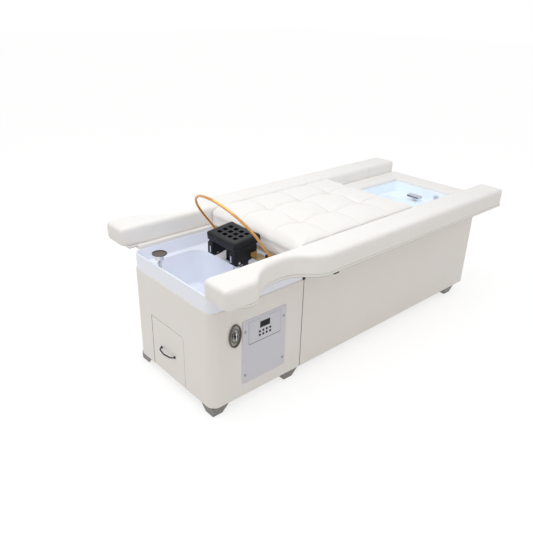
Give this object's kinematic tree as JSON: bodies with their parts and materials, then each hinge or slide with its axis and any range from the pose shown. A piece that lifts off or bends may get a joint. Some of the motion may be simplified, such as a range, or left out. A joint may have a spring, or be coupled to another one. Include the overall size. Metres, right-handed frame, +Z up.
{
  "type": "head spa chair",
  "caption": "Head spa bed: wash basin and neck rest at the head, tufted mattress, waisted armrests, foot bath, water arch, drawer and a control panel",
  "frame": {"origin": "on the floor, below the middle of the bounding box", "axes": "+X from the head end to the foot end, -Y the side with the control panel, +Z up"},
  "size_m": [2.155, 0.986, 0.9453],
  "materials": {
    "white_leatherette": "warm white leatherette, fine grain, satin",
    "white_acrylic": "bluish white sanitary acrylic, glossy",
    "plywood": "birch plywood, clear lacquer",
    "dark_chrome": "dark chrome, polished",
    "chrome": "bright chrome, polished",
    "brass": "rose brass, polished",
    "black_plastic": "near-black satin plastic",
    "red_plastic": "dark red satin plastic",
    "panel_plastic": "pale blue-grey gloss plate",
    "coated_steel": "black powder coat",
    "grey_plastic": "grey pipe plastic",
    "circuit_green": "circuit laminate",
    "display": "black display window",
    "black_rubber": "rubber glide"
  },
  "bodies": {
    "bed": {"head_cabinet_shell": "white_leatherette", "bed_body_shell": "white_leatherette", "armrest_left": "white_leatherette", "armrest_right": "white_leatherette", "mattress": "white_leatherette", "tray_pad": "white_leatherette", "armrest_boards": "white_leatherette", "head_basin": "white_acrylic", "foot_bath": "white_acrylic", "mattress_board": "plywood", "tray_board": "plywood", "feet": "dark_chrome", "mixer_plate": "dark_chrome", "foot_waste": "chrome", "head_waste": "chrome", "head_spout_body": "chrome", "head_spout_disc": "chrome", "foot_spout": "chrome", "neck_stands": "chrome", "neck_prop_rod": "chrome", "panel_screws": "chrome", "mixer_valve": "chrome", "drawer_runners": "chrome", "foot_bolts": "chrome", "control_plate": "panel_plastic", "control_overlay": "panel_plastic", "under_frame": "coated_steel", "steel_bearers": "coated_steel", "head_drain_pipe": "grey_plastic", "foot_drain_pipe": "grey_plastic", "supply_pipe": "grey_plastic", "water_tank": "grey_plastic", "circulation_pump": "grey_plastic", "control_box": "grey_plastic", "mains_gland": "grey_plastic", "circuit_board": "circuit_green", "display_window": "display", "foot_glides": "black_rubber"},
    "neck": {"neck_pillow": "black_plastic", "neck_cheeks": "black_plastic", "neck_fittings": "chrome", "arch_arms": "brass"},
    "arch": {"water_arch": "brass"},
    "clamp_left": {"clamp_knob_left": "black_plastic"},
    "clamp_right": {"clamp_knob_right": "black_plastic"},
    "drawer": {"drawer_front": "white_leatherette", "drawer_box": "plywood", "drawer_handle": "dark_chrome", "drawer_handle_screws": "chrome", "drawer_slides": "chrome"},
    "mixer": {"mixer_lever": "dark_chrome"},
    "dial": {"foot_dial": "chrome"},
    "press_1": {"button_1": "black_plastic"},
    "press_2": {"button_2": "black_plastic"},
    "press_3": {"button_3": "black_plastic"},
    "press_4": {"button_4": "black_plastic"},
    "press_5": {"button_5": "red_plastic"},
    "press_6": {"button_6": "red_plastic"},
    "press_7": {"button_7": "red_plastic"},
    "press_8": {"button_8": "red_plastic"}
  },
  "joints": [
    {"name": "drawer_slide", "type": "slide", "parent": "bed", "child": "drawer", "axis": [-1, 0, 0], "range_m": [0, 0.2]},
    {"name": "neck_height", "type": "slide", "parent": "bed", "child": "neck", "axis": [0, 0, 1], "range_m": [0, 0.025]},
    {"name": "arch_swing", "type": "hinge", "parent": "neck", "child": "arch", "pos_m": [-0.5865, 0, 0.651], "axis": [0, 1, 0], "range_deg": [-30, 35]},
    {"name": "clamp_left_turn", "type": "hinge", "parent": "neck", "child": "clamp_left", "pos_m": [-0.5865, 0, 0.651], "axis": [0, 1, 0], "range_deg": [0, 180]},
    {"name": "clamp_right_turn", "type": "hinge", "parent": "neck", "child": "clamp_right", "pos_m": [-0.5865, 0, 0.651], "axis": [0, 1, 0], "range_deg": [0, 180]},
    {"name": "mixer_turn", "type": "hinge", "parent": "bed", "child": "mixer", "pos_m": [-0.9035, -0.325, 0.402], "axis": [0, 1, 0], "range_deg": [-45, 45]},
    {"name": "dial_turn", "type": "hinge", "parent": "bed", "child": "dial", "pos_m": [0.9405, -0.122, 0.616], "axis": [1, 0, 0], "range_deg": [0, 90]},
    {"name": "press_1_travel", "type": "slide", "parent": "bed", "child": "press_1", "axis": [0, 1, 0], "range_m": [0, 0.0012], "stiffness_N_per_m": 1500},
    {"name": "press_2_travel", "type": "slide", "parent": "bed", "child": "press_2", "axis": [0, 1, 0], "range_m": [0, 0.0012], "stiffness_N_per_m": 1500},
    {"name": "press_3_travel", "type": "slide", "parent": "bed", "child": "press_3", "axis": [0, 1, 0], "range_m": [0, 0.0012], "stiffness_N_per_m": 1500},
    {"name": "press_4_travel", "type": "slide", "parent": "bed", "child": "press_4", "axis": [0, 1, 0], "range_m": [0, 0.0012], "stiffness_N_per_m": 1500},
    {"name": "press_5_travel", "type": "slide", "parent": "bed", "child": "press_5", "axis": [0, 1, 0], "range_m": [0, 0.0012], "stiffness_N_per_m": 1500},
    {"name": "press_6_travel", "type": "slide", "parent": "bed", "child": "press_6", "axis": [0, 1, 0], "range_m": [0, 0.0012], "stiffness_N_per_m": 1500},
    {"name": "press_7_travel", "type": "slide", "parent": "bed", "child": "press_7", "axis": [0, 1, 0], "range_m": [0, 0.0012], "stiffness_N_per_m": 1500},
    {"name": "press_8_travel", "type": "slide", "parent": "bed", "child": "press_8", "axis": [0, 1, 0], "range_m": [0, 0.0012], "stiffness_N_per_m": 1500}
  ]
}
